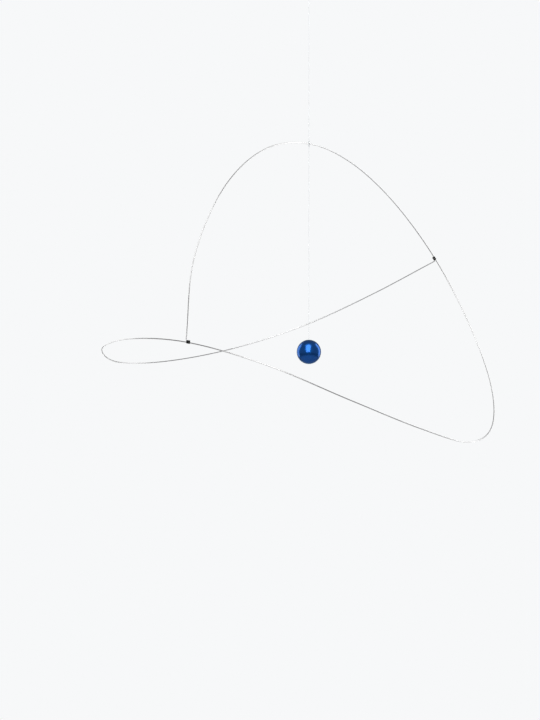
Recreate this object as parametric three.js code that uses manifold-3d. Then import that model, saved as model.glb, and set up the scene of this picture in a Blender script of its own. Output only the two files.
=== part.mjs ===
// A hanging mobile. One springy steel wire runs in wide loops and is hooked onto its own run in
// two places, where short black rubber sleeves hold it. It hangs by a thin thread from the top of
// its arch, and a glossy blue ball hangs on a second thread in the middle of the loops.
// Millimetres, Z up, seen from the front along +Y. The origin is the top of the hanging loop.

import * as THREE from 'three';
import { mergeVertices } from 'three/addons/utils/BufferGeometryUtils.js';
import Module from 'manifold-3d';

// Driving sizes of the wire and its two hooked ends
const wireSpan = 490;
const wireDiameter = 1.2;
const hookBendRadius = 1.2;
const hookTipLength = 0.4;

// Driving sizes of the rubber sleeves
const sleevesPerJoint = 2;
const sleeveLength = 2;
const sleeveWall = 0.4;
const sleeveSpacing = 0.3;

// Driving sizes of the ball, the threads, their knots and the hanging loop
const ballDiameter = 30;
const ballTopDrop = 242;
const ballBoreDepth = 5;
const threadDiameter = 0.3;
const hangingThreadLength = 178;
const wrapCount = 3;
const knotDiameter = 1.4;
const knotHeight = 1.8;
const loopLength = 10;
const loopWidth = 5;

// Air left between pieces that touch on the real mobile, and between the wire and its own hooked end
const clearance = 0.3;
const hookGap = 0.1;

// How finely the round forms are cut
const wireSides = 8;
const threadSides = 8;
const wireStepsPerStation = 12;
const bendSteps = 6;
const threadSteps = 24;
const loopSteps = 24;
const ballSlices = 40;
const ballRows = 20;
const wrapSlices = 16;
const sleeveArcSteps = 8;

// The run of the wire, as stations that it passes through. Each is three shares of the span, in
// thousandths: to the right of, behind and above the point where the wire hangs. The wire climbs from
// the left joint over the arch to the right joint, sweeps down and forward to the left joint, and
// returns behind to the right joint.
const leftJointShares = [-290, -382, -504];
const rightJointShares = [355, 335, -273];
const archShares = [
  [-271, -384, -312], [-206, -300, -144], [-112, -162, -36],
  [0, 0, 0], [117, 153, -31], [238, 274, -124],
];
const sweepShares = [
  [444, 301, -454], [483, 175, -613], [460, -4, -713], [380, -188, -742],
  [252, -346, -704], [82, -442, -635], [-109, -456, -555],
];
const returnShares = [
  [-437, -236, -495], [-516, -51, -517], [-497, 153, -550], [-378, 321, -548],
  [-201, 413, -513], [-4, 431, -449], [179, 397, -366],
];
const hangStation = 1 + archShares.findIndex((shares) => shares.every((share) => share === 0));

// Sizes that follow from the driving ones
const wireRadius = wireDiameter / 2;
const threadRadius = threadDiameter / 2;
const standOff = wireDiameter + hookGap;
const wrapInnerRadius = wireRadius + clearance;
const wrapOuterRadius = wrapInnerRadius + threadDiameter;
const beadTop = wrapInnerRadius + knotHeight;
const archDrop = loopLength + knotHeight + clearance + hangingThreadLength + clearance + beadTop;
const jointRunLength = sleevesPerJoint * (sleeveLength + sleeveSpacing) + hookTipLength;

const wasm = await Module();
wasm.setup();

// A path through given points, with one step from each point to the next
class PointPath extends THREE.Curve {
  constructor(points) {
    super();
    this.points = points;
  }

  getPoint(share, target = new THREE.Vector3()) {
    const place = share * (this.points.length - 1);
    const index = Math.min(Math.floor(place), this.points.length - 2);
    return target.lerpVectors(this.points[index], this.points[index + 1], place - index);
  }

  getUtoTmapping(share) {
    return share;
  }
}

// A round tube through given points, closed at both ends
function tubeThrough(points, radius, sides) {
  const section = new THREE.Shape();
  for (let side = 0; side < sides; side += 1) {
    const angle = (2 * Math.PI * side) / sides;
    const corner = [radius * Math.cos(angle), radius * Math.sin(angle)];
    if (side === 0) section.moveTo(...corner);
    else section.lineTo(...corner);
  }
  section.closePath();
  return new THREE.ExtrudeGeometry(section, {
    steps: points.length - 1,
    extrudePath: new PointPath(points),
  });
}

function toSolid(geometry) {
  const bare = geometry.clone();
  bare.deleteAttribute('normal');
  bare.deleteAttribute('uv');
  const merged = mergeVertices(bare, 1e-5);
  return new wasm.Manifold(new wasm.Mesh({
    numProp: 3,
    vertProperties: new Float32Array(merged.attributes.position.array),
    triVerts: new Uint32Array(merged.index.array),
  }));
}

function fused(geometries) {
  const solid = geometries.map(toSolid).reduce((whole, next) => whole.add(next));
  const mesh = solid.getMesh();
  const geometry = new THREE.BufferGeometry();
  geometry.setAttribute('position', new THREE.BufferAttribute(mesh.vertProperties, 3));
  geometry.setIndex(new THREE.BufferAttribute(mesh.triVerts, 1));
  geometry.computeVertexNormals();
  return geometry;
}

const steel = new THREE.MeshStandardMaterial({ color: '#8e8b86', roughness: 0.22, metalness: 1 });
const rubber = new THREE.MeshStandardMaterial({ color: '#141416', roughness: 0.7, metalness: 0 });
const blueGloss = new THREE.MeshStandardMaterial({ color: '#0b3f9c', roughness: 0.12, metalness: 0.8 });
const nylon = new THREE.MeshStandardMaterial({ color: '#dfe3e6', roughness: 0.3, metalness: 0 });

const mobile = new THREE.Group();
const sculpture = new THREE.Group();
sculpture.position.set(0, 0, -archDrop);
mobile.add(sculpture);

function addPiece(parent, name, geometry, material) {
  const piece = new THREE.Mesh(geometry, material.clone());
  piece.name = name;
  parent.add(piece);
  return piece;
}

// The wire's free run, as a smooth curve through its stations

function toPoint(shares) {
  return new THREE.Vector3(...shares).multiplyScalar(wireSpan / 1000);
}

function smoothRun(firstPoint, lastPoint) {
  const inner = [...archShares, rightJointShares, ...sweepShares, leftJointShares, ...returnShares];
  const stations = [firstPoint, ...inner.map(toPoint), lastPoint];
  return new THREE.CatmullRomCurve3(stations, false, 'catmullrom', 0.5);
}

const stationsToRightJoint = archShares.length + 1;
const stationsToLeftJoint = stationsToRightJoint + sweepShares.length + 1;
const stationIntervals = stationsToLeftJoint + returnShares.length + 1;
const draftRun = smoothRun(toPoint(leftJointShares), toPoint(rightJointShares));

// One of the two places where an end of the wire is hooked onto the wire's own run. The end comes in
// square to the run, bends back along it and lies beside it under the sleeves.
class HookedJoint {
  constructor(stationNumber, neighbourStation) {
    this.share = stationNumber / stationIntervals;
    this.shareStep = 0.01 / stationIntervals;
    const arrival = draftRun.getPoint(this.share).sub(toPoint(neighbourStation));
    this.across = this.squareTo(this.directionAt(0), arrival);
  }

  squareTo(direction, vector) {
    return vector.clone().addScaledVector(direction, -vector.dot(direction)).normalize();
  }

  // The share of the run that lies this many millimetres before the joint
  shareAt(distance) {
    const joint = draftRun.getPoint(this.share);
    const step = joint.distanceTo(draftRun.getPoint(this.share - this.shareStep));
    return this.share - (distance / step) * this.shareStep;
  }

  pointAt(distance) {
    return draftRun.getPoint(this.shareAt(distance));
  }

  directionAt(distance) {
    const share = this.shareAt(distance);
    const further = draftRun.getPoint(share - this.shareStep);
    return further.sub(draftRun.getPoint(share + this.shareStep)).normalize();
  }

  // A point of the hooked end, beside the run and this far along it
  besideRun(distance, offset) {
    const across = this.squareTo(this.directionAt(distance), this.across);
    return this.pointAt(distance).addScaledVector(across, -offset);
  }

  // The hooked end from where it leaves the free wire to its tip
  points() {
    const bend = [];
    for (let step = 0; step <= bendSteps; step += 1) {
      const angle = (Math.PI / 2) * (step / bendSteps);
      const along = hookBendRadius * (1 - Math.cos(angle));
      const offset = standOff + hookBendRadius * (1 - Math.sin(angle));
      bend.push(this.besideRun(along, offset));
    }
    const tip = hookBendRadius + jointRunLength;
    const middle = (hookBendRadius + tip) / 2;
    return [...bend, this.besideRun(middle, standOff), this.besideRun(tip, standOff)];
  }

  // Where a sleeve sits: halfway between the run and the hooked end, turned to lie along them
  sleevePlace(index) {
    const distance = hookBendRadius + index * (sleeveLength + sleeveSpacing) + sleeveLength / 2;
    const along = this.directionAt(distance);
    const across = this.squareTo(along, this.across);
    const upright = new THREE.Vector3().crossVectors(along, across);
    const centre = this.besideRun(distance, standOff / 2);
    return new THREE.Matrix4().makeBasis(across, upright, along).setPosition(centre);
  }
}

const jointAtLeft = new HookedJoint(stationsToLeftJoint, archShares[0]);
const jointAtRight = new HookedJoint(stationsToRightJoint, returnShares[returnShares.length - 1]);

// The wire: the first hook from its tip, the free run, and the last hook to its tip

function wireGeometry() {
  const firstHook = jointAtLeft.points();
  const lastHook = jointAtRight.points();
  const run = smoothRun(firstHook[0], lastHook[0]).getPoints(stationIntervals * wireStepsPerStation);
  const points = [...firstHook.slice(1).reverse(), ...run, ...lastHook.slice(1)];
  return tubeThrough(points, wireRadius, wireSides);
}

addPiece(sculpture, 'wire', wireGeometry(), steel);

// The rubber sleeves: short pushed-on tubes, pulled to an oval by the two wires inside them

function ovalOutline(path, radius) {
  const half = standOff / 2;
  for (const side of [1, -1]) {
    for (let step = 0; step <= sleeveArcSteps; step += 1) {
      const angle = -Math.PI / 2 + (Math.PI * step) / sleeveArcSteps;
      const corner = [side * (half + radius * Math.cos(angle)), side * radius * Math.sin(angle)];
      if (side === 1 && step === 0) path.moveTo(...corner);
      else path.lineTo(...corner);
    }
  }
  path.closePath();
  return path;
}

function sleeveGeometry() {
  const boreRadius = wireRadius + clearance;
  const shape = ovalOutline(new THREE.Shape(), boreRadius + sleeveWall);
  shape.holes.push(ovalOutline(new THREE.Path(), boreRadius));
  const rounding = sleeveWall / 4;
  const geometry = new THREE.ExtrudeGeometry(shape, {
    depth: sleeveLength - 2 * rounding,
    bevelThickness: rounding,
    bevelSize: rounding,
    bevelOffset: -rounding,
    bevelSegments: 1,
  });
  return geometry.translate(0, 0, rounding - sleeveLength / 2);
}

function addSleeves(side, joint) {
  for (let index = 0; index < sleevesPerJoint; index += 1) {
    const sleeve = addPiece(sculpture, `${side}_sleeve_${index + 1}`, sleeveGeometry(), rubber);
    sleeve.applyMatrix4(joint.sleevePlace(index));
  }
}

addSleeves('left', jointAtLeft);
addSleeves('right', jointAtRight);

// The knots: thread wound round the arch of the wire, with a small tied bead above and below

function knotBead(bottom) {
  const radius = knotDiameter / 2;
  const rows = [[0, 0], [0.6, 0], [1, 0.3], [1, 0.7], [0.6, 1], [0, 1]];
  const profile = rows.map(([width, height]) => new THREE.Vector2(width * radius, height * knotHeight));
  return new THREE.LatheGeometry(profile, wrapSlices).rotateX(Math.PI / 2).translate(0, 0, bottom);
}

function wrapGeometry(direction) {
  const wraps = [];
  for (let index = 0; index < wrapCount; index += 1) {
    const place = (index - (wrapCount - 1) / 2) * threadDiameter;
    wraps.push([wrapOuterRadius - threadRadius, place - threadRadius], [wrapOuterRadius, place]);
  }
  const end = (wrapCount * threadDiameter) / 2;
  wraps.push([wrapOuterRadius - threadRadius, end]);
  const outline = [...wraps, [wrapInnerRadius, end], [wrapInnerRadius, -end], wraps[0]];
  const profile = outline.map(([radius, height]) => new THREE.Vector2(radius, height));
  const turn = new THREE.Quaternion().setFromUnitVectors(new THREE.Vector3(0, 1, 0), direction);
  return new THREE.LatheGeometry(profile, wrapSlices).applyQuaternion(turn);
}

const archDirection = draftRun.getTangent(hangStation / stationIntervals);
const archKnot = fused([
  wrapGeometry(archDirection),
  knotBead(wrapInnerRadius),
  knotBead(-beadTop),
]);
addPiece(sculpture, 'arch_knot', archKnot, nylon);

// The threads: each a taut line straight up and down

function straightThread(bottom, top) {
  const points = [];
  for (let step = 0; step <= threadSteps; step += 1) {
    points.push(new THREE.Vector3(0, 0, bottom + ((top - bottom) * step) / threadSteps));
  }
  return tubeThrough(points, threadRadius, threadSides);
}

const ballThreadBottom = -ballTopDrop - ballBoreDepth + clearance;
addPiece(sculpture, 'ball_thread', straightThread(ballThreadBottom, -beadTop - clearance), nylon);
const hangingThreadBottom = beadTop + clearance;
const hangingThreadTop = hangingThreadBottom + hangingThreadLength;
addPiece(sculpture, 'hanging_thread', straightThread(hangingThreadBottom, hangingThreadTop), nylon);

// The hanging loop: the thread's end, turned back and tied in a knot

function hangingLoop() {
  const foot = -loopLength;
  const legSpacing = threadDiameter * 0.7;
  // A closed swing of one cubic curve is 0.289 of its arms wide and three quarters of them high
  const reach = loopWidth / 2 / 0.289;
  const rise = foot + ((loopLength + threadRadius) * 4) / 3;
  const swing = new THREE.CubicBezierCurve3(
    new THREE.Vector3(legSpacing, 0, foot),
    new THREE.Vector3(reach, 0, rise),
    new THREE.Vector3(-reach, 0, rise),
    new THREE.Vector3(-legSpacing, 0, foot),
  );
  return fused([knotBead(foot - knotHeight), tubeThrough(legsInKnot(swing), threadRadius, threadSides)]);
}

// The loop's two legs run on into the knot
function legsInKnot(swing) {
  const sink = new THREE.Vector3(0, 0, -knotHeight / 3);
  const points = swing.getPoints(loopSteps);
  const first = points[0].clone().add(sink);
  const last = points[loopSteps].clone().add(sink);
  return [first, ...points, last];
}

addPiece(mobile, 'hanging_loop', hangingLoop(), nylon);

// The ball, with the small bore that the thread is glued into

function ballGeometry() {
  const radius = ballDiameter / 2;
  const boreRadius = threadRadius + clearance;
  const lastAngle = Math.acos(boreRadius / radius);
  const profile = [];
  for (let row = 0; row <= ballRows; row += 1) {
    const angle = -Math.PI / 2 + ((lastAngle + Math.PI / 2) * row) / ballRows;
    profile.push(new THREE.Vector2(row === 0 ? 0 : radius * Math.cos(angle), radius * Math.sin(angle)));
  }
  profile.push(new THREE.Vector2(boreRadius, radius - ballBoreDepth));
  profile.push(new THREE.Vector2(0, radius - ballBoreDepth));
  return new THREE.LatheGeometry(profile, ballSlices).rotateX(Math.PI / 2);
}

const ball = addPiece(sculpture, 'ball', ballGeometry(), blueGloss);
ball.position.set(0, 0, -ballTopDrop - ballDiameter / 2);

export default mobile;
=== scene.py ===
"""A hanging mobile: a springy steel wire hooked onto itself in wide loops, with a glossy blue ball inside.

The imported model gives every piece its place. This script makes the fine surfaces and finishes, the
threads at their real length, a pale studio and the camera.
"""

import logging
import math
from dataclasses import dataclass, field
from enum import Enum

import bmesh
import bpy
from mathutils import Matrix, Vector


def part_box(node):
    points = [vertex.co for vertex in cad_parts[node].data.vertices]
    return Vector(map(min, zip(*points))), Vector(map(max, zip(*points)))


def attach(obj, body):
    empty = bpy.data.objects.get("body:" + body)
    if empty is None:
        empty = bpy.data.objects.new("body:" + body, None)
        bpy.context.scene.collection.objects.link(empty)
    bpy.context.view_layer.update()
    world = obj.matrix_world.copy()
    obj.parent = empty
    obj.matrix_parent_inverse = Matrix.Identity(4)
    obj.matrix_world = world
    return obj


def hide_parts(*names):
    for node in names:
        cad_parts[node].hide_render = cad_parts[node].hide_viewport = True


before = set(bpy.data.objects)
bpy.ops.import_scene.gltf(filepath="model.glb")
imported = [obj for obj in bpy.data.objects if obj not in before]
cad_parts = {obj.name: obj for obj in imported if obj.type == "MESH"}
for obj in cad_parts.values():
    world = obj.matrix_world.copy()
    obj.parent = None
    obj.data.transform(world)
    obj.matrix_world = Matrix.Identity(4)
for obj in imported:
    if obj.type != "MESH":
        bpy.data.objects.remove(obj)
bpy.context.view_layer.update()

BODY = "root"
LOG = logging.getLogger("mobile")
MM_PER_METRE = 1000.0
UP = Vector((0, 0, 1))


# Helpers for colours, nodes and meshes


def linear(hex_colour: str) -> tuple[float, float, float, float]:
    """Turn an sRGB hex colour into the linear values that the shaders use, by the sRGB standard's curve.

    Args:
        hex_colour: a colour such as "#0a3c91".

    Returns:
        Red, green and blue, each from 0 to 1, and a full alpha.
    """
    shares = [int(hex_colour[i : i + 2], 16) / 255 for i in (1, 3, 5)]
    red, green, blue = [c / 12.92 if c <= 0.04045 else ((c + 0.055) / 1.055) ** 2.4 for c in shares]
    return (red, green, blue, 1.0)


def add_node(
    tree: bpy.types.NodeTree, kind: str, links: dict[str | int, object] | None = None, **settings: object
) -> bpy.types.Node:
    """Add a node to a tree, with its settings and its inputs.

    Args:
        tree: the shader or geometry tree.
        kind: the node's type, such as "ShaderNodeTexNoise".
        links: input name or number to a value, or to an output socket that feeds it.
        settings: the node's own properties.

    Returns:
        The new node.
    """
    node = tree.nodes.new(kind)
    for name, value in settings.items():
        setattr(node, name, value)
    for name, value in (links or {}).items():
        socket = node.inputs[name]
        if isinstance(value, bpy.types.NodeSocket):
            tree.links.new(value, socket)
        else:
            socket.default_value = value
    return node


def mesh_object(name: str, mesh: bpy.types.Mesh) -> bpy.types.Object:
    """Put a mesh in the scene as an object at the origin.

    Args:
        name: the piece's name.
        mesh: its finished mesh.

    Returns:
        The new object.
    """
    piece = bpy.data.objects.new(name, mesh)
    bpy.context.scene.collection.objects.link(piece)
    return piece


def closed_piece(name: str, build: bmesh.types.BMesh, finish: bpy.types.Material) -> bpy.types.Object:
    """Turn a closed form into a smooth piece with its faces outwards, and let go of the form.

    Args:
        name: the piece's name.
        build: the closed form.
        finish: its material.

    Returns:
        The new piece.
    """
    bmesh.ops.recalc_face_normals(build, faces=build.faces)
    mesh = bpy.data.meshes.new(name)
    build.to_mesh(mesh)
    build.free()
    mesh.shade_smooth()
    mesh.materials.append(finish)
    return mesh_object(name, mesh)


def square_to(direction: Vector, vector: Vector) -> Vector:
    """Give the part of a vector that stands square to a direction, at length one.

    Args:
        direction: a direction of length one.
        vector: the vector to square up.

    Returns:
        The squared vector.
    """
    return (vector - direction * vector.dot(direction)).normalized()


# Helpers for materials


# Noise seldom leaves the middle half of its range.
NOISE_LOW = 0.25
NOISE_HIGH = 0.75


def mixed_colour(
    tree: bpy.types.NodeTree, share: bpy.types.NodeSocket, first: str, second: str
) -> bpy.types.NodeSocket:
    """Mix two sRGB hex colours by a pattern.

    Args:
        tree: the material's tree.
        share: the pattern, from 0 for the first colour to 1 for the second.
        first: the first colour.
        second: the second colour.

    Returns:
        The socket that carries the mixed colour.
    """
    links = {0: share, 6: linear(first), 7: linear(second)}
    return add_node(tree, "ShaderNodeMix", links, data_type="RGBA").outputs[2]


def ranged(
    tree: bpy.types.NodeTree, value: bpy.types.NodeSocket, low: float, high: float
) -> bpy.types.NodeSocket:
    """Spread a pattern's middle half over a range.

    Args:
        tree: the material's tree.
        value: the pattern.
        low: the value at the low end of the middle half, and below it.
        high: the value at the high end of the middle half, and above it.

    Returns:
        The socket that carries the spread value.
    """
    links = {"Value": value, "From Min": NOISE_LOW, "From Max": NOISE_HIGH, "To Min": low, "To Max": high}
    return add_node(tree, "ShaderNodeMapRange", links).outputs["Result"]


def new_material(name: str) -> tuple[bpy.types.Material, bpy.types.NodeTree, bpy.types.Node]:
    """Start a material.

    Args:
        name: the material's name.

    Returns:
        The material, its tree and its shader.
    """
    material = bpy.data.materials.new(name)
    material.use_nodes = True
    tree = material.node_tree
    return material, tree, tree.nodes["Principled BSDF"]


def seen_directly(tree: bpy.types.NodeTree) -> bpy.types.NodeSocket:
    """Tell whether the eye sees the studio itself, straight or through clear line, and not its reflection.

    Args:
        tree: the studio's material or room.

    Returns:
        The socket that is 1 where the studio is seen, and 0 where it is reflected or lights something.
    """
    ray = add_node(tree, "ShaderNodeLightPath")
    seen = add_node(
        tree,
        "ShaderNodeMath",
        {0: ray.outputs["Is Camera Ray"], 1: ray.outputs["Is Transmission Ray"]},
        operation="MAXIMUM",
    )
    return seen.outputs[0]


# Finishes


@dataclass(frozen=True)
class DrawnSteel:
    """Spring-steel wire, drawn bright through a die.

    To the eye it is a thin hard mirror: bright where it turns to a window and dark where it does not, a
    neutral grey, with faint duller stains along its run and fine die lines.
    """

    name: str = "drawn_spring_steel"
    bright: str = "#c4c4c5"
    stained: str = "#a4a3a2"
    stain_length_mm: float = 38.0
    stains_around: float = 0.6
    die_line_length_mm: float = 50.0
    die_lines_around: float = 14.0
    die_line_depth_m: float = 0.00002
    die_line_strength: float = 0.12
    roughness_low: float = 0.16
    roughness_high: float = 0.28

    def build(self) -> bpy.types.Material:
        """Make the material. The wire's own attribute carries its run in millimetres and its turn.

        Real die lines are finer: these are as coarse as they need to show.

        Returns:
            The finished material.
        """
        material, tree, shader = new_material(self.name)
        shader.inputs["Metallic"].default_value = 1.0
        run = add_node(tree, "ShaderNodeAttribute", attribute_name="line_run").outputs["Vector"]
        scale = (1 / self.stain_length_mm, self.stains_around, 1)
        along = add_node(tree, "ShaderNodeMapping", {"Vector": run, "Scale": scale})
        pattern = {"Vector": along.outputs["Vector"], "Scale": 1.0, "Detail": 3.0}
        stain = add_node(tree, "ShaderNodeTexNoise", pattern)
        colour = mixed_colour(tree, stain.outputs["Fac"], self.bright, self.stained)
        tree.links.new(colour, shader.inputs["Base Color"])
        spread = ranged(tree, stain.outputs["Fac"], self.roughness_low, self.roughness_high)
        tree.links.new(spread, shader.inputs["Roughness"])
        scale = (1 / self.die_line_length_mm, self.die_lines_around, 1)
        drawn = add_node(tree, "ShaderNodeMapping", {"Vector": run, "Scale": scale})
        pattern = {"Vector": drawn.outputs["Vector"], "Scale": 1.0, "Detail": 2.0}
        height = add_node(tree, "ShaderNodeTexNoise", pattern).outputs["Fac"]
        relief = {"Height": height, "Strength": self.die_line_strength, "Distance": self.die_line_depth_m}
        bump = add_node(tree, "ShaderNodeBump", relief)
        tree.links.new(bump.outputs["Normal"], shader.inputs["Normal"])
        return material


@dataclass(frozen=True)
class SiliconeRubber:
    """Black silicone tube, extruded and cut short.

    To the eye it is nearly black, with a faint dusty grain that breaks up and dulls its soft highlights.
    """

    name: str = "silicone_rubber"
    dark: str = "#040405"
    dusty: str = "#0e0e10"
    grain_mm: float = 0.5
    grain_depth_m: float = 0.00003
    grain_strength: float = 0.25
    roughness_low: float = 0.648
    roughness_high: float = 0.828
    ior: float = 1.41
    shine: float = 0.3

    def build(self) -> bpy.types.Material:
        """Make the material. Real dust is finer: this grain is as coarse as it needs to show.

        Returns:
            The finished material.
        """
        material, tree, shader = new_material(self.name)
        shader.inputs["IOR"].default_value = self.ior
        shader.inputs["Specular IOR Level"].default_value = self.shine
        place = add_node(tree, "ShaderNodeTexCoord").outputs["Object"]
        pattern = {"Vector": place, "Scale": MM_PER_METRE / self.grain_mm, "Detail": 2.0}
        grain = add_node(tree, "ShaderNodeTexNoise", pattern).outputs["Fac"]
        colour = mixed_colour(tree, grain, self.dark, self.dusty)
        tree.links.new(colour, shader.inputs["Base Color"])
        spread = ranged(tree, grain, self.roughness_low, self.roughness_high)
        tree.links.new(spread, shader.inputs["Roughness"])
        relief = {"Height": grain, "Strength": self.grain_strength, "Distance": self.grain_depth_m}
        bump = add_node(tree, "ShaderNodeBump", relief)
        tree.links.new(bump.outputs["Normal"], shader.inputs["Normal"])
        return material


@dataclass(frozen=True)
class NylonLine:
    """Clear nylon line, drawn and stretched.

    To the eye it is see-through and almost lost against a pale wall, with a soft edge and a slightly
    milky body.
    """

    name: str = "clear_nylon"
    colour: str = "#c4c9cd"
    milk_mm: float = 4.0
    roughness_low: float = 0.105
    roughness_high: float = 0.21
    ior: float = 1.53
    clearness: float = 0.9

    def build(self) -> bpy.types.Material:
        """Make the material.

        Returns:
            The finished material.
        """
        material, tree, shader = new_material(self.name)
        shader.inputs["Base Color"].default_value = linear(self.colour)
        shader.inputs["IOR"].default_value = self.ior
        shader.inputs["Transmission Weight"].default_value = self.clearness
        place = add_node(tree, "ShaderNodeTexCoord").outputs["Object"]
        pattern = {"Vector": place, "Scale": MM_PER_METRE / self.milk_mm, "Detail": 1.0}
        milk = add_node(tree, "ShaderNodeTexNoise", pattern)
        spread = ranged(tree, milk.outputs["Fac"], self.roughness_low, self.roughness_high)
        tree.links.new(spread, shader.inputs["Roughness"])
        return material


@dataclass(frozen=True)
class BlueMetallicLacquer:
    """Blue metallic lacquer under a clear top coat, sprayed and polished.

    To the eye it is a deep blue mirror: broad blue reflections from the fine metal flakes, a little paler
    where the clear coat shines over them, slow clouds of lighter blue, and a tint of its own at the rim.
    """

    name: str = "blue_metallic_lacquer"
    deep: str = "#013a7c"
    light: str = "#0756a6"
    rim: str = "#0abcc0"
    cloud_mm: float = 9.0
    flake_mm: float = 0.22
    roughness_low: float = 0.2392
    roughness_high: float = 0.2808
    coat: float = 0.35
    coat_roughness: float = 0.12

    def build(self) -> bpy.types.Material:
        """Make the material. Real flakes are a tenth as coarse: these are as coarse as they need to show.

        Returns:
            The finished material.
        """
        material, tree, shader = new_material(self.name)
        shader.inputs["Metallic"].default_value = 1.0
        shader.inputs["Specular Tint"].default_value = linear(self.rim)
        shader.inputs["Coat Weight"].default_value = self.coat
        shader.inputs["Coat Roughness"].default_value = self.coat_roughness
        place = add_node(tree, "ShaderNodeTexCoord").outputs["Object"]
        pattern = {"Vector": place, "Scale": MM_PER_METRE / self.cloud_mm, "Detail": 2.0}
        cloud = add_node(tree, "ShaderNodeTexNoise", pattern)
        colour = mixed_colour(tree, cloud.outputs["Fac"], self.deep, self.light)
        tree.links.new(colour, shader.inputs["Base Color"])
        pattern = {"Vector": place, "Scale": MM_PER_METRE / self.flake_mm}
        flake = add_node(tree, "ShaderNodeTexVoronoi", pattern)
        spread = ranged(tree, flake.outputs["Distance"], self.roughness_low, self.roughness_high)
        tree.links.new(spread, shader.inputs["Roughness"])
        return material


@dataclass(frozen=True)
class StudioPaper:
    """Matt pale studio paper, lit softly near the mobile and fading into the pale room further out."""

    name: str = "studio_paper"
    colour: str = "#f7f8f9"
    near_colour: str = "#9a9b9d"
    far_colour: str = "#000000"
    near_glow: float = 0.45
    far_glow: float = 1.0
    reflected_glow: float = 0.3
    fade_start: float = 1.0
    fade_end: float = 2.2

    def build(self) -> bpy.types.Material:
        """Make the material: it glows for the eye, and only dimly in reflections.

        Returns:
            The finished material.
        """
        material, tree, shader = new_material(self.name)
        shader.inputs["Roughness"].default_value = 1.0
        shader.inputs["Specular IOR Level"].default_value = 0.0
        shader.inputs["Emission Color"].default_value = linear(self.colour)
        place = add_node(tree, "ShaderNodeTexCoord").outputs["Object"]
        level = add_node(
            tree,
            "ShaderNodeVectorMath",
            {0: place, 1: (1.0, 1.0, 0.0)},
            operation="MULTIPLY",
        )
        reach = add_node(tree, "ShaderNodeVectorMath", {0: level.outputs["Vector"]}, operation="LENGTH")
        fade = add_node(
            tree,
            "ShaderNodeMapRange",
            {"Value": reach.outputs["Value"], "From Min": self.fade_start, "From Max": self.fade_end},
            interpolation_type="SMOOTHSTEP",
        ).outputs["Result"]
        colour = mixed_colour(tree, fade, self.near_colour, self.far_colour)
        tree.links.new(colour, shader.inputs["Base Color"])
        glow = add_node(
            tree,
            "ShaderNodeMapRange",
            {"Value": fade, "To Min": self.near_glow, "To Max": self.far_glow},
        )
        strength = add_node(
            tree,
            "ShaderNodeMapRange",
            {"Value": seen_directly(tree), "To Min": self.reflected_glow, "To Max": glow.outputs["Result"]},
        )
        tree.links.new(strength.outputs["Result"], shader.inputs["Emission Strength"])
        return material


# Geometry Nodes: a round line along a path


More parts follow.
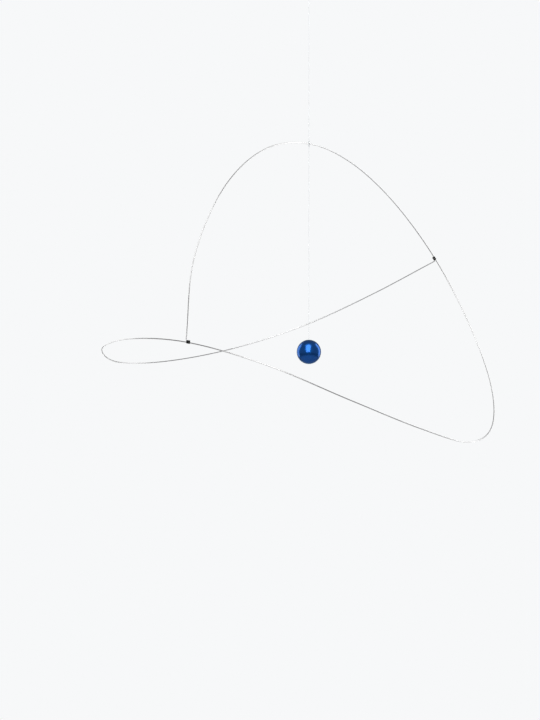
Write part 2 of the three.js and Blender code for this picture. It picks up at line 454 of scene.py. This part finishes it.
class RoundLine:
    """Turns paths of points into round lines with closed ends, by Geometry Nodes."""

    SHARP_ANGLE = math.radians(50)

    def __init__(self) -> None:
        """Build the tree once; each line sets its own inputs."""
        self.tree = bpy.data.node_groups.new("round_line_along_path", "GeometryNodeTree")
        face = self.tree.interface
        face.new_socket("Geometry", in_out="INPUT", socket_type="NodeSocketGeometry")
        face.new_socket("Diameter", in_out="INPUT", socket_type="NodeSocketFloat")
        face.new_socket("Sides", in_out="INPUT", socket_type="NodeSocketInt")
        face.new_socket("Finish", in_out="INPUT", socket_type="NodeSocketMaterial")
        face.new_socket("Geometry", in_out="OUTPUT", socket_type="NodeSocketGeometry")
        given = add_node(self.tree, "NodeGroupInput")
        mapped = self.add_run_and_turn(self.add_tube(given))
        real = add_node(self.tree, "GeometryNodeRealizeInstances", {"Geometry": mapped})
        dressed = add_node(
            self.tree,
            "GeometryNodeSetMaterial",
            {"Geometry": real.outputs["Geometry"], "Material": given.outputs["Finish"]},
        )
        add_node(self.tree, "NodeGroupOutput", {"Geometry": dressed.outputs["Geometry"]})

    def add_tube(self, given: bpy.types.Node) -> bpy.types.NodeSocket:
        """Add the nodes that sweep a round section along the path, and keep each point's run and turn.

        Args:
            given: the node that holds the tree's own inputs.

        Returns:
            The socket that carries the closed tube.
        """
        path = add_node(self.tree, "GeometryNodeMeshToCurve", {"Mesh": given.outputs["Geometry"]})
        place = add_node(self.tree, "GeometryNodeSplineParameter")
        length = {0: place.outputs["Length"], 1: MM_PER_METRE}
        in_mm = add_node(self.tree, "ShaderNodeMath", length, operation="MULTIPLY")
        kept_run = add_node(
            self.tree,
            "GeometryNodeStoreNamedAttribute",
            {"Geometry": path.outputs["Curve"], "Name": "run_mm", "Value": in_mm.outputs[0]},
            data_type="FLOAT",
            domain="POINT",
        )
        half = {0: given.outputs["Diameter"], 1: 0.5}
        radius = add_node(self.tree, "ShaderNodeMath", half, operation="MULTIPLY")
        section = add_node(
            self.tree,
            "GeometryNodeCurvePrimitiveCircle",
            {"Resolution": given.outputs["Sides"], "Radius": radius.outputs[0]},
        )
        turn = add_node(self.tree, "GeometryNodeSplineParameter")
        kept_turn = add_node(
            self.tree,
            "GeometryNodeStoreNamedAttribute",
            {"Geometry": section.outputs["Curve"], "Name": "turn", "Value": turn.outputs["Factor"]},
            data_type="FLOAT",
            domain="POINT",
        )
        tube = add_node(
            self.tree,
            "GeometryNodeCurveToMesh",
            {
                "Curve": kept_run.outputs["Geometry"],
                "Profile Curve": kept_turn.outputs["Geometry"],
                "Fill Caps": True,
            },
        )
        return tube.outputs["Mesh"]

    def add_run_and_turn(self, tube: bpy.types.NodeSocket) -> bpy.types.NodeSocket:
        """Add the nodes that put the run and the turn in one attribute, which the materials read.

        Args:
            tube: the socket that carries the tube.

        Returns:
            The socket that carries the tube with its attribute.
        """
        run = add_node(self.tree, "GeometryNodeInputNamedAttribute", {"Name": "run_mm"}, data_type="FLOAT")
        turned = add_node(self.tree, "GeometryNodeInputNamedAttribute", {"Name": "turn"}, data_type="FLOAT")
        both = add_node(
            self.tree,
            "ShaderNodeCombineXYZ",
            {"X": run.outputs["Attribute"], "Y": turned.outputs["Attribute"]},
        )
        mapped = add_node(
            self.tree,
            "GeometryNodeStoreNamedAttribute",
            {"Geometry": tube, "Name": "line_run", "Value": both.outputs["Vector"]},
            data_type="FLOAT_VECTOR",
            domain="POINT",
        )
        return mapped.outputs["Geometry"]

    def make(
        self,
        name: str,
        paths: list[list[Vector]],
        diameter: float,
        sides: int,
        finish: bpy.types.Material,
    ) -> bpy.types.Object:
        """Make one piece of one or more round lines.

        Args:
            name: the piece's name.
            paths: the points of each line, in metres.
            diameter: the line's diameter in metres.
            sides: how many sides its section has.
            finish: its material.

        Returns:
            The finished piece, a plain mesh at the origin.
        """
        mesh = bpy.data.meshes.new(name + "_path")
        points = [tuple(p) for path in paths for p in path]
        edges = []
        start = 0
        for path in paths:
            edges += [(start + i, start + i + 1) for i in range(len(path) - 1)]
            start += len(path)
        mesh.from_pydata(points, edges, [])
        holder = mesh_object(name + "_path", mesh)
        modifier = holder.modifiers.new("round_line", "NODES")
        modifier.node_group = self.tree
        wanted = {"Diameter": diameter, "Sides": sides, "Finish": finish}
        for item in self.tree.interface.items_tree:
            if item.in_out == "INPUT" and item.name in wanted:
                modifier[item.identifier] = wanted[item.name]
        ready = holder.evaluated_get(bpy.context.evaluated_depsgraph_get())
        made = bpy.data.meshes.new_from_object(ready)
        holder.modifiers.clear()
        bpy.data.objects.remove(holder)
        made.name = name
        made.shade_smooth()
        made.set_sharp_from_angle(angle=self.SHARP_ANGLE)
        return mesh_object(name, made)


# The wire


@dataclass
class HookedJoint:
    """One end of the wire, hooked square onto the wire's own run and lying back along it."""

    run: "WireRun"
    station: int
    neighbour: Vector
    share_step: float = 0.01

    def __post_init__(self) -> None:
        """Work out the side of the run that the end comes from."""
        arrival = self.run.draft_at(self.station) - self.neighbour
        self.across = square_to(self.direction_at(0.0), arrival)

    def place_at(self, distance: float) -> float:
        """Give the place on the run, in stations, that lies this far before the joint."""
        step = (self.run.draft_at(self.station) - self.run.draft_at(self.station - self.share_step)).length
        return self.station - distance / step * self.share_step

    def direction_at(self, distance: float) -> Vector:
        """Give the run's direction, towards its start, this far before the joint.

        Args:
            distance: how far before the joint.

        Returns:
            The direction, of length one.
        """
        place = self.place_at(distance)
        before = self.run.draft_at(place - self.share_step)
        after = self.run.draft_at(place + self.share_step)
        return (before - after).normalized()

    def beside(self, distance: float, offset: float) -> Vector:
        """Give a point beside the run.

        Args:
            distance: how far before the joint.
            offset: how far from the run's centre line.

        Returns:
            The point.
        """
        across = square_to(self.direction_at(distance), self.across)
        return self.run.draft_at(self.place_at(distance)) - across * offset

    def points(self, bend_steps: int = 10) -> list[Vector]:
        """Give the hooked end, from where it leaves the free wire to its tip.

        Args:
            bend_steps: how finely the bend is cut.

        Returns:
            The points of the hooked end.
        """
        bend = self.run.hook_bend_radius
        stand_off = self.run.stand_off
        points = []
        for step in range(bend_steps + 1):
            angle = math.pi / 2 * step / bend_steps
            distance = bend * (1 - math.cos(angle))
            points.append(self.beside(distance, stand_off + bend * (1 - math.sin(angle))))
        tip = bend + self.run.joint_run_length
        return points + [self.beside((bend + tip) / 2, stand_off), self.beside(tip, stand_off)]


@dataclass
class WireRun:
    """The run of the one long wire: a smooth curve through stations, hooked at both ends.

    The stations are counted from the top of the arch, in thousandths of the wire's span.
    """

    span: float = 0.490
    diameter: float = 0.0012
    hook_gap: float = 0.0001
    hook_bend_radius: float = 0.0012
    hook_tip_length: float = 0.0004
    sleeves_per_joint: int = 2
    sleeve_length: float = 0.002
    sleeve_spacing: float = 0.0003
    steps_per_station: int = 40
    arch_top: tuple[int, int, int] = (0, 0, 0)
    left_joint: tuple[int, int, int] = (-290, -382, -504)
    right_joint: tuple[int, int, int] = (355, 335, -273)
    arch: tuple[tuple[int, int, int], ...] = (
        (-271, -384, -312), (-206, -300, -144), (-112, -162, -36),
        (0, 0, 0), (117, 153, -31), (238, 274, -124),
    )
    sweep: tuple[tuple[int, int, int], ...] = (
        (444, 301, -454), (483, 175, -613), (460, -4, -713), (380, -188, -742),
        (252, -346, -704), (82, -442, -635), (-109, -456, -555),
    )
    back: tuple[tuple[int, int, int], ...] = (
        (-437, -236, -495), (-516, -51, -517), (-497, 153, -550), (-378, 321, -548),
        (-201, 413, -513), (-4, 431, -449), (179, 397, -366),
    )

    def __post_init__(self) -> None:
        """Place the stations around the frame's arch knot and find the two joints."""
        low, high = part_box("arch_knot")
        self.hang_point = (low + high) / 2
        self.stand_off = self.diameter + self.hook_gap
        held = self.sleeves_per_joint * (self.sleeve_length + self.sleeve_spacing)
        self.joint_run_length = held + self.hook_tip_length
        inner = [*self.arch, self.right_joint, *self.sweep, self.left_joint, *self.back]
        self.draft = [self.to_point(s) for s in (self.left_joint, *inner, self.right_joint)]
        right_station = len(self.arch) + 1
        left_station = right_station + len(self.sweep) + 1
        self.hang_station = 1 + self.arch.index(self.arch_top)
        self.left = HookedJoint(self, left_station, self.to_point(self.arch[0]))
        self.right = HookedJoint(self, right_station, self.to_point(self.back[-1]))

    def to_point(self, shares: tuple[int, int, int]) -> Vector:
        """Give a station's place in metres."""
        return self.hang_point + Vector(shares) * (self.span / 1000)

    def draft_at(self, place: float) -> Vector:
        """Give the point at a place on the run before its ends are hooked, counted in stations."""
        return self.curve_at(self.draft, place)

    @staticmethod
    def curve_at(stations: list[Vector], place: float) -> Vector:
        """Give the point of the smooth curve through some stations.

        Args:
            stations: the points that the curve passes through.
            place: the place on it, counted in stations.

        Returns:
            The point.
        """
        index = min(max(int(place), 0), len(stations) - 2)
        share = place - index
        start, end = stations[index], stations[index + 1]
        before = stations[index - 1] if index > 0 else 2 * start - end
        after = stations[index + 2] if index + 2 < len(stations) else 2 * end - start
        leave, reach = (end - before) / 2, (after - start) / 2
        return (
            start
            + leave * share
            + (3 * (end - start) - 2 * leave - reach) * share**2
            + (2 * (start - end) + leave + reach) * share**3
        )

    def points(self) -> list[Vector]:
        """Give the whole wire from tip to tip.

        Returns:
            The points of its centre line, in metres.
        """
        first, last = self.left.points(), self.right.points()
        stations = [first[0], *self.draft[1:-1], last[0]]
        count = (len(stations) - 1) * self.steps_per_station
        free = [self.curve_at(stations, i / self.steps_per_station) for i in range(count + 1)]
        return first[:0:-1] + free + last[1:]


@dataclass
class LoopedWire:
    """The springy wire and the short rubber sleeves that hold its hooked ends."""

    lines: RoundLine
    run: WireRun
    sides: int = 16
    sleeve_wall: float = 0.00066
    sleeve_slack: float = 0.00004
    sleeve_bulge: float = 0.00008
    sleeve_turns: int = 48
    sleeve_edge_steps: int = 5
    sleeve_back_shares: tuple[float, ...] = (0.6, 0.0, -0.6)
    square_turn: float = 1e-6

    def build_wire(self, finish: bpy.types.Material) -> bpy.types.Object:
        """Make the wire and set it on its body.

        Args:
            finish: its material.

        Returns:
            The finished wire.
        """
        wire = self.lines.make("looped_wire", [self.run.points()], self.run.diameter, self.sides, finish)
        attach(wire, BODY)
        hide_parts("wire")
        return wire

    def sleeve_rows(self) -> list[tuple[float, float]]:
        """Give a sleeve's section: a rounded lip at each end, and a back that stands a little proud.

        Returns:
            Pairs of the place along the sleeve and the radius around each wire.
        """
        bore = self.run.diameter / 2 + self.sleeve_slack
        outer = bore + self.sleeve_wall
        lip = self.sleeve_wall / 2
        flat = self.run.sleeve_length / 2 - lip
        rows = []
        for side in (1, -1):
            for step in range(self.sleeve_edge_steps + 1):
                angle = math.pi * step / self.sleeve_edge_steps
                along = side * (flat + lip * math.sin(angle))
                rows.append((along, bore + lip - side * lip * math.cos(angle)))
            if side == 1:
                for share in self.sleeve_back_shares:
                    rows.append((share * flat, outer + self.sleeve_bulge * (1 - share**2)))
        return rows

    def build_sleeve(
        self,
        name: str,
        node: str,
        joint: HookedJoint,
        index: int,
        finish: bpy.types.Material,
    ) -> bpy.types.Object:
        """Make one rubber sleeve, pulled to an oval over the two wires inside it.

        Args:
            name: the piece's name.
            node: the frame's node that it stands for.
            joint: the hooked joint that it holds.
            index: its place, counted from the hook's bend.
            finish: its material.

        Returns:
            The finished sleeve.
        """
        run = self.run
        pitch = run.sleeve_length + run.sleeve_spacing
        distance = run.hook_bend_radius + index * pitch + run.sleeve_length / 2
        along = joint.direction_at(distance)
        across = square_to(along, joint.across)
        upright = along.cross(across)
        centre = joint.beside(distance, run.stand_off / 2)
        half = run.stand_off / 2
        build = bmesh.new()
        loops = []
        for place, radius in self.sleeve_rows():
            loop = []
            for turn in range(self.sleeve_turns):
                angle = 2 * math.pi * turn / self.sleeve_turns
                cosine = math.cos(angle)
                reach = math.copysign(half, cosine) if abs(cosine) > self.square_turn else 0.0
                point = centre + along * place + across * (reach + radius * cosine)
                loop.append(build.verts.new(point + upright * radius * math.sin(angle)))
            loops.append(loop)
        for first, second in zip(loops, loops[1:] + loops[:1]):
            for i in range(self.sleeve_turns):
                j = (i + 1) % self.sleeve_turns
                build.faces.new((first[i], first[j], second[j], second[i]))
        sleeve = closed_piece(name, build, finish)
        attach(sleeve, BODY)
        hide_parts(node)
        return sleeve

    def build_sleeves(self, finish: bpy.types.Material) -> list[bpy.types.Object]:
        """Make the sleeves of both joints.

        Args:
            finish: their material.

        Returns:
            The finished sleeves, the left joint's first.
        """
        made = []
        for side, joint in (("left", self.run.left), ("right", self.run.right)):
            for index in range(self.run.sleeves_per_joint):
                node = f"{side}_sleeve_{index + 1}"
                made.append(self.build_sleeve(f"rubber_{node}", node, joint, index, finish))
        return made


# The threads and their knots


class Winding(Enum):
    """Which way a thread is wound."""

    LEFT = -1
    RIGHT = 1


@dataclass
class Threads:
    """The clear threads, the tied knots and the hanging loop.

    Pitches and leg_spacing are in thread diameters. The loop's curve has two handles: it reaches
    handle_reach of their half width and handle_rise of their height.
    """

    lines: RoundLine
    run: WireRun
    diameter: float = 0.0003
    sides: int = 10
    route_points: int = 24
    wound_from: tuple[float, float, float] = (0.31, 0.87, 0.11)
    turn_pitch: float = 1.03
    steps_per_turn: int = 20
    knot_cover: float = 0.0001
    wraps_on_wire: int = 3
    wrap_pitch: float = 1.04
    tail_length: float = 0.0022
    tail_bend: float = 0.4
    tail_rise: float = 0.5
    tail_steps: int = 6
    loop_length: float = 0.010
    loop_width: float = 0.005
    loop_knot_length: float = 0.0019
    loop_sink: float = 0.0008
    loop_steps: int = 64
    leg_spacing: float = 0.7
    handle_reach: float = 0.289
    handle_rise: float = 0.75
    hanging_ends: tuple[Vector, Vector] = field(init=False)
    ball_ends: tuple[Vector, Vector] = field(init=False)

    def __post_init__(self) -> None:
        """Read where the threads run from the frame."""
        self.hanging_ends = self.ends_of("hanging_thread")
        self.ball_ends = self.ends_of("ball_thread")

    @staticmethod
    def ends_of(node: str) -> tuple[Vector, Vector]:
        """Give the two ends of an upright thread node.

        Args:
            node: the node's name.

        Returns:
            Its bottom and its top.
        """
        low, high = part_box(node)
        middle = (low + high) / 2
        return Vector((middle.x, middle.y, low.z)), Vector((middle.x, middle.y, high.z))

    def route(self, start: Vector, end: Vector) -> list[Vector]:
        """Give the points of a taut thread from one end to the other."""
        return [start.lerp(end, i / (self.route_points - 1)) for i in range(self.route_points)]

    def helix(
        self, start: Vector, end: Vector, radius: float, turns: int, winding: Winding
    ) -> list[Vector]:
        """Give a wound thread.

        Args:
            start: where the winding's axis starts.
            end: where it ends.
            radius: the distance of the thread's centre from the axis.
            turns: how many turns it makes.
            winding: which way it goes round.

        Returns:
            The points of the wound thread.
        """
        axis = (end - start).normalized()
        side = square_to(axis, Vector(self.wound_from))
        other = axis.cross(side) * winding.value
        count = turns * self.steps_per_turn
        points = []
        for i in range(count + 1):
            angle = 2 * math.pi * turns * i / count
            out = side * math.cos(angle) + other * math.sin(angle)
            points.append(start.lerp(end, i / count) + out * radius)
        return points

    def barrel_knot(
        self, low: Vector, high: Vector, core: list[Vector], winding: Winding
    ) -> list[list[Vector]]:
        """Give a barrel knot: close turns around the thread, a core inside, and a trimmed tail.

        Args:
            low: where the turns start.
            high: where they end. The turns cover the end of the plain thread.
            core: the two ends of the thread inside the turns.
            winding: which way it is wound.

        Returns:
            The lines of the knot.
        """
        axis = (high - low).normalized()
        pitch = self.diameter * self.turn_pitch
        count = round((high - low).length / pitch)
        turns = self.helix(low, high, pitch, count, winding)
        end = turns[-1]
        out = square_to(axis, end - high)
        bend = end + out * self.tail_length * self.tail_bend
        tip = end + (out + axis * self.tail_rise) * self.tail_length
        shares = [i / self.tail_steps for i in range(self.tail_steps + 1)]
        tail = [end.lerp(bend, t).lerp(bend.lerp(tip, t), t) for t in shares]
        return [turns, core, tail]

    def build_arch_knot(self, finish: bpy.types.Material) -> bpy.types.Object:
        """Make the thread tied on the arch: wraps around the wire, and a knot above and below.

        Args:
            finish: its material.

        Returns:
            The finished knot.
        """
        hang = self.run.hang_point
        station = self.run.hang_station
        step = self.run.left.share_step
        along = (self.run.draft_at(station + step) - self.run.draft_at(station - step)).normalized()
        half = along * (self.wraps_on_wire * self.diameter * self.wrap_pitch / 2)
        wire_radius = self.run.diameter / 2
        radius = wire_radius + self.diameter / 2
        lines = [self.helix(hang - half, hang + half, radius, self.wraps_on_wire, Winding.RIGHT)]
        knots = ((UP, self.hanging_ends[0], Winding.RIGHT), (-UP, self.ball_ends[1], Winding.LEFT))
        for side, end, winding in knots:
            start = hang + side * (wire_radius + self.diameter)
            lines += self.barrel_knot(start, end + side * self.knot_cover, [start, end], winding)
        knot_piece = self.lines.make("arch_knot_tied", lines, self.diameter, self.sides, finish)
        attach(knot_piece, BODY)
        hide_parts("arch_knot")
        return knot_piece

    def loop_curve(self) -> list[Vector]:
        """Give the hanging loop, from inside its knot, round the top and back.

        Returns:
            The points of the loop.
        """
        foot = UP * -self.loop_length
        leg = Vector((self.diameter * self.leg_spacing, 0, 0))
        reach = self.loop_width / 2 / self.handle_reach
        rise = (self.loop_length + self.diameter / 2) / self.handle_rise - self.loop_length
        corners = [foot + leg, Vector((reach, 0, rise)), Vector((-reach, 0, rise)), foot - leg]
        curve = []
        for i in range(self.loop_steps + 1):
            t = i / self.loop_steps
            weights = ((1 - t) ** 3, 3 * t * (1 - t) ** 2, 3 * t * t * (1 - t), t**3)
            curve.append(sum((c * w for c, w in zip(corners, weights)), Vector()))
        sink = UP * -self.loop_sink
        return [curve[0] + sink, *curve, curve[-1] + sink]

    def build_loop(self, finish: bpy.types.Material) -> bpy.types.Object:
        """Make the hanging loop and its knot.

        Args:
            finish: its material.

        Returns:
            The finished loop.
        """
        end = self.hanging_ends[1]
        start = end - UP * self.knot_cover
        high = start + UP * self.loop_knot_length
        lines = [self.loop_curve(), *self.barrel_knot(start, high, [end, high], Winding.RIGHT)]
        loop = self.lines.make("hanging_loop_tied", lines, self.diameter, self.sides, finish)
        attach(loop, BODY)
        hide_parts("hanging_loop")
        return loop

    def build_line(
        self,
        name: str,
        node: str,
        start: Vector,
        end: Vector,
        finish: bpy.types.Material,
    ) -> bpy.types.Object:
        """Args:
            name: the piece's name.
            node: the frame's node that it stands for.
            start: where it leaves the knot on the arch.
            end: its other end.
            finish: its material.

        Returns:
            The finished thread.
        """
        points = self.route(start, end)
        thread = self.lines.make(name, [points], self.diameter, self.sides, finish)
        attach(thread, BODY)
        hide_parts(node)
        return thread

    def build(self, finish: bpy.types.Material) -> list[bpy.types.Object]:
        """Make every thread, knot and loop.

        Args:
            finish: their material.

        Returns:
            The arch knot, the hanging loop, the hanging thread and the ball's thread.
        """
        knot = self.build_arch_knot(finish)
        loop = self.build_loop(finish)
        low, high = self.hanging_ends
        hanging = self.build_line(
            "hanging_thread_line", "hanging_thread", low, high, finish
        )
        low, high = self.ball_ends
        ball_line = self.build_line("ball_thread_line", "ball_thread", high, low, finish)
        return [knot, loop, hanging, ball_line]


# The ball


@dataclass
class Ball:
    """The glossy ball, with a small rounded bore that its thread is glued into."""

    bore_radius: float = 0.00045
    bore_depth: float = 0.005
    rim_radius: float = 0.0003
    slices: int = 128
    rows: int = 64
    rim_steps: int = 5

    def profile(self, radius: float) -> list[tuple[float, float]]:
        """Give the ball's half section, from its lowest point over the rim of the bore to the bore's floor.

        Args:
            radius: the ball's radius in metres.

        Returns:
            Pairs of distance from the axis and height above the centre.
        """
        rim = self.rim_radius
        turn = math.acos((self.bore_radius + rim) / (radius - rim))
        points = [(0.0, -radius)]
        for row in range(1, self.rows + 1):
            angle = -math.pi / 2 + (turn + math.pi / 2) * row / self.rows
            points.append((radius * math.cos(angle), radius * math.sin(angle)))
        across, up = (radius - rim) * math.cos(turn), (radius - rim) * math.sin(turn)
        for step in range(1, self.rim_steps + 1):
            angle = turn + (math.pi - turn) * step / self.rim_steps
            points.append((across + rim * math.cos(angle), up + rim * math.sin(angle)))
        points.append((self.bore_radius, radius - self.bore_depth))
        points.append((0.0, radius - self.bore_depth))
        return points

    def build(self, finish: bpy.types.Material) -> bpy.types.Object:
        """Make the ball around the frame's own ball.

        Args:
            finish: its material.

        Returns:
            The finished ball.
        """
        low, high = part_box("ball")
        centre, radius = (low + high) / 2, (high.z - low.z) / 2
        build = bmesh.new()
        rings = []
        for reach, height in self.profile(radius):
            ring = []
            for turn in range(self.slices if reach else 1):
                angle = 2 * math.pi * turn / self.slices
                place = Vector((reach * math.cos(angle), reach * math.sin(angle), height))
                ring.append(build.verts.new(centre + place))
            rings.append(ring)
        for first, second in zip(rings, rings[1:]):
            for i in range(self.slices):
                j = i + 1
                corners = [first[i % len(first)], first[j % len(first)]]
                corners += [second[j % len(second)], second[i % len(second)]]
                build.faces.new(list(dict.fromkeys(corners)))
        ball = closed_piece("glossy_ball", build, finish)
        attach(ball, BODY)
        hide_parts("ball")
        return ball


# The studio


@dataclass(frozen=True)
class SoftLight:
    """One soft rectangular light, placed and sized by how the mobile sees it.

    The azimuth is 0 beyond the mobile, 90 on its right and 180 behind the eye. Angles are in degrees.
    """

    name: str
    azimuth: float
    elevation: float
    wide: float
    tall: float
    radiance: float


@dataclass
class Studio:
    """The camera, the pale floor and the soft lights."""

    camera_right: float = -0.0480
    camera_back: float = 1.9753
    camera_drop: float = 0.2670
    focal_pixels: float = 1600.0
    frame_height: float = 720.0
    sensor: float = 36.0
    farthest_seen: float = 50.0
    floor_drop: float = 1.25
    floor_radius: float = 6.0
    floor_sides: int = 96
    room_glow: float = 0.46
    light_distance: float = 2.4
    lights: tuple[SoftLight, ...] = (
        SoftLight("tall_window", -171.0, 36.0, 40.0, 72.0, 4.3),
        SoftLight("right_wall", 60.0, 12.0, 26.0, 62.0, 3.0),
        SoftLight("left_wall", -54.0, 2.0, 36.0, 76.0, 2.0),
        SoftLight("far_panel", 10.0, -38.0, 76.0, 36.0, 3.0),
    )

    def build_camera(self, hang: Vector) -> bpy.types.Object:
        """Make the camera: level, straight on, at the photograph's viewing angle.

        Args:
            hang: the top of the wire's arch.

        Returns:
            The camera.
        """
        lens = bpy.data.cameras.new("camera")
        lens.sensor_fit = "VERTICAL"
        lens.sensor_height = self.sensor
        lens.lens = self.sensor * self.focal_pixels / self.frame_height
        lens.clip_end = self.farthest_seen
        camera = bpy.data.objects.new("camera", lens)
        camera.location = hang + Vector((self.camera_right, -self.camera_back, -self.camera_drop))
        camera.rotation_euler = (math.pi / 2, 0, 0)
        bpy.context.scene.collection.objects.link(camera)
        bpy.context.scene.camera = camera
        return camera

    def build_floor(self, hang: Vector) -> bpy.types.Object:
        """Make the pale floor, well below the mobile.

        Args:
            hang: the top of the wire's arch.

        Returns:
            The floor.
        """
        build = bmesh.new()
        bmesh.ops.create_circle(build, cap_ends=True, segments=self.floor_sides, radius=self.floor_radius)
        bmesh.ops.translate(build, verts=build.verts, vec=hang - UP * self.floor_drop)
        mesh = bpy.data.meshes.new("studio_floor")
        build.to_mesh(mesh)
        build.free()
        mesh.materials.append(StudioPaper().build())
        floor = mesh_object("studio_floor", mesh)
        return floor

    def build_room(self) -> bpy.types.World:
        """Make the room: pale where it is seen, also through clear line, and dimmer where it is reflected.

        Returns:
            The room.
        """
        world = bpy.data.worlds.new("studio_room")
        world.use_nodes = True
        bpy.context.scene.world = world
        tree = world.node_tree
        tree.nodes.clear()
        paper = linear(StudioPaper().colour)
        pale = add_node(tree, "ShaderNodeBackground", {"Color": paper, "Strength": 1.0})
        dim = add_node(
            tree,
            "ShaderNodeBackground",
            {"Color": (1.0, 1.0, 1.0, 1.0), "Strength": self.room_glow},
        )
        both = add_node(
            tree,
            "ShaderNodeMixShader",
            {0: seen_directly(tree), 1: dim.outputs["Background"], 2: pale.outputs["Background"]},
        )
        add_node(tree, "ShaderNodeOutputWorld", {"Surface": both.outputs["Shader"]})
        return world

    def build_lights(self, middle: Vector) -> None:
        """Make the soft lights. A light's radiance is its watts, over pi, over its area.

        Args:
            middle: the point that the lights stand around and face.
        """
        for soft in self.lights:
            azimuth, elevation = math.radians(soft.azimuth), math.radians(soft.elevation)
            towards = Vector((
                math.sin(azimuth) * math.cos(elevation),
                math.cos(azimuth) * math.cos(elevation),
                math.sin(elevation),
            ))
            data = bpy.data.lights.new(soft.name, "AREA")
            data.shape = "RECTANGLE"
            data.size = 2 * self.light_distance * math.tan(math.radians(soft.wide / 2))
            data.size_y = 2 * self.light_distance * math.tan(math.radians(soft.tall / 2))
            data.energy = soft.radiance * math.pi * data.size * data.size_y
            light = bpy.data.objects.new(soft.name, data)
            place = middle + towards * self.light_distance
            turn = (-towards).to_track_quat("-Z", "Y")
            light.matrix_world = Matrix.Translation(place) @ turn.to_matrix().to_4x4()
            light.visible_camera = False
            bpy.context.scene.collection.objects.link(light)

    def build(self, hang: Vector, middle: Vector) -> None:
        """Make the whole studio except the camera.

        Args:
            hang: the top of the wire's arch.
            middle: the point that the lights face.
        """
        self.build_floor(hang)
        self.build_room()
        self.build_lights(middle)
        settings = bpy.context.scene.view_settings
        settings.view_transform = "Standard"
        settings.look = "None"


def main() -> None:
    """Build every piece in order and report each one."""
    logging.basicConfig(level=logging.INFO, format="%(name)s: %(message)s")
    run = WireRun()
    studio = Studio()
    studio.build_camera(run.hang_point)
    lines = RoundLine()
    for piece in Threads(lines, run).build(NylonLine().build()):
        LOG.info("thread piece %s: %d faces", piece.name, len(piece.data.polygons))
    wire = LoopedWire(lines, run)
    made = wire.build_wire(DrawnSteel().build())
    LOG.info("wire %s: %d faces", made.name, len(made.data.polygons))
    for piece in wire.build_sleeves(SiliconeRubber().build()):
        LOG.info("sleeve %s: %d faces", piece.name, len(piece.data.polygons))
    ball = Ball().build(BlueMetallicLacquer().build())
    LOG.info("ball %s: %d faces", ball.name, len(ball.data.polygons))
    low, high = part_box("ball")
    studio.build(run.hang_point, (low + high) / 2)


if __name__ == "__main__":
    main()
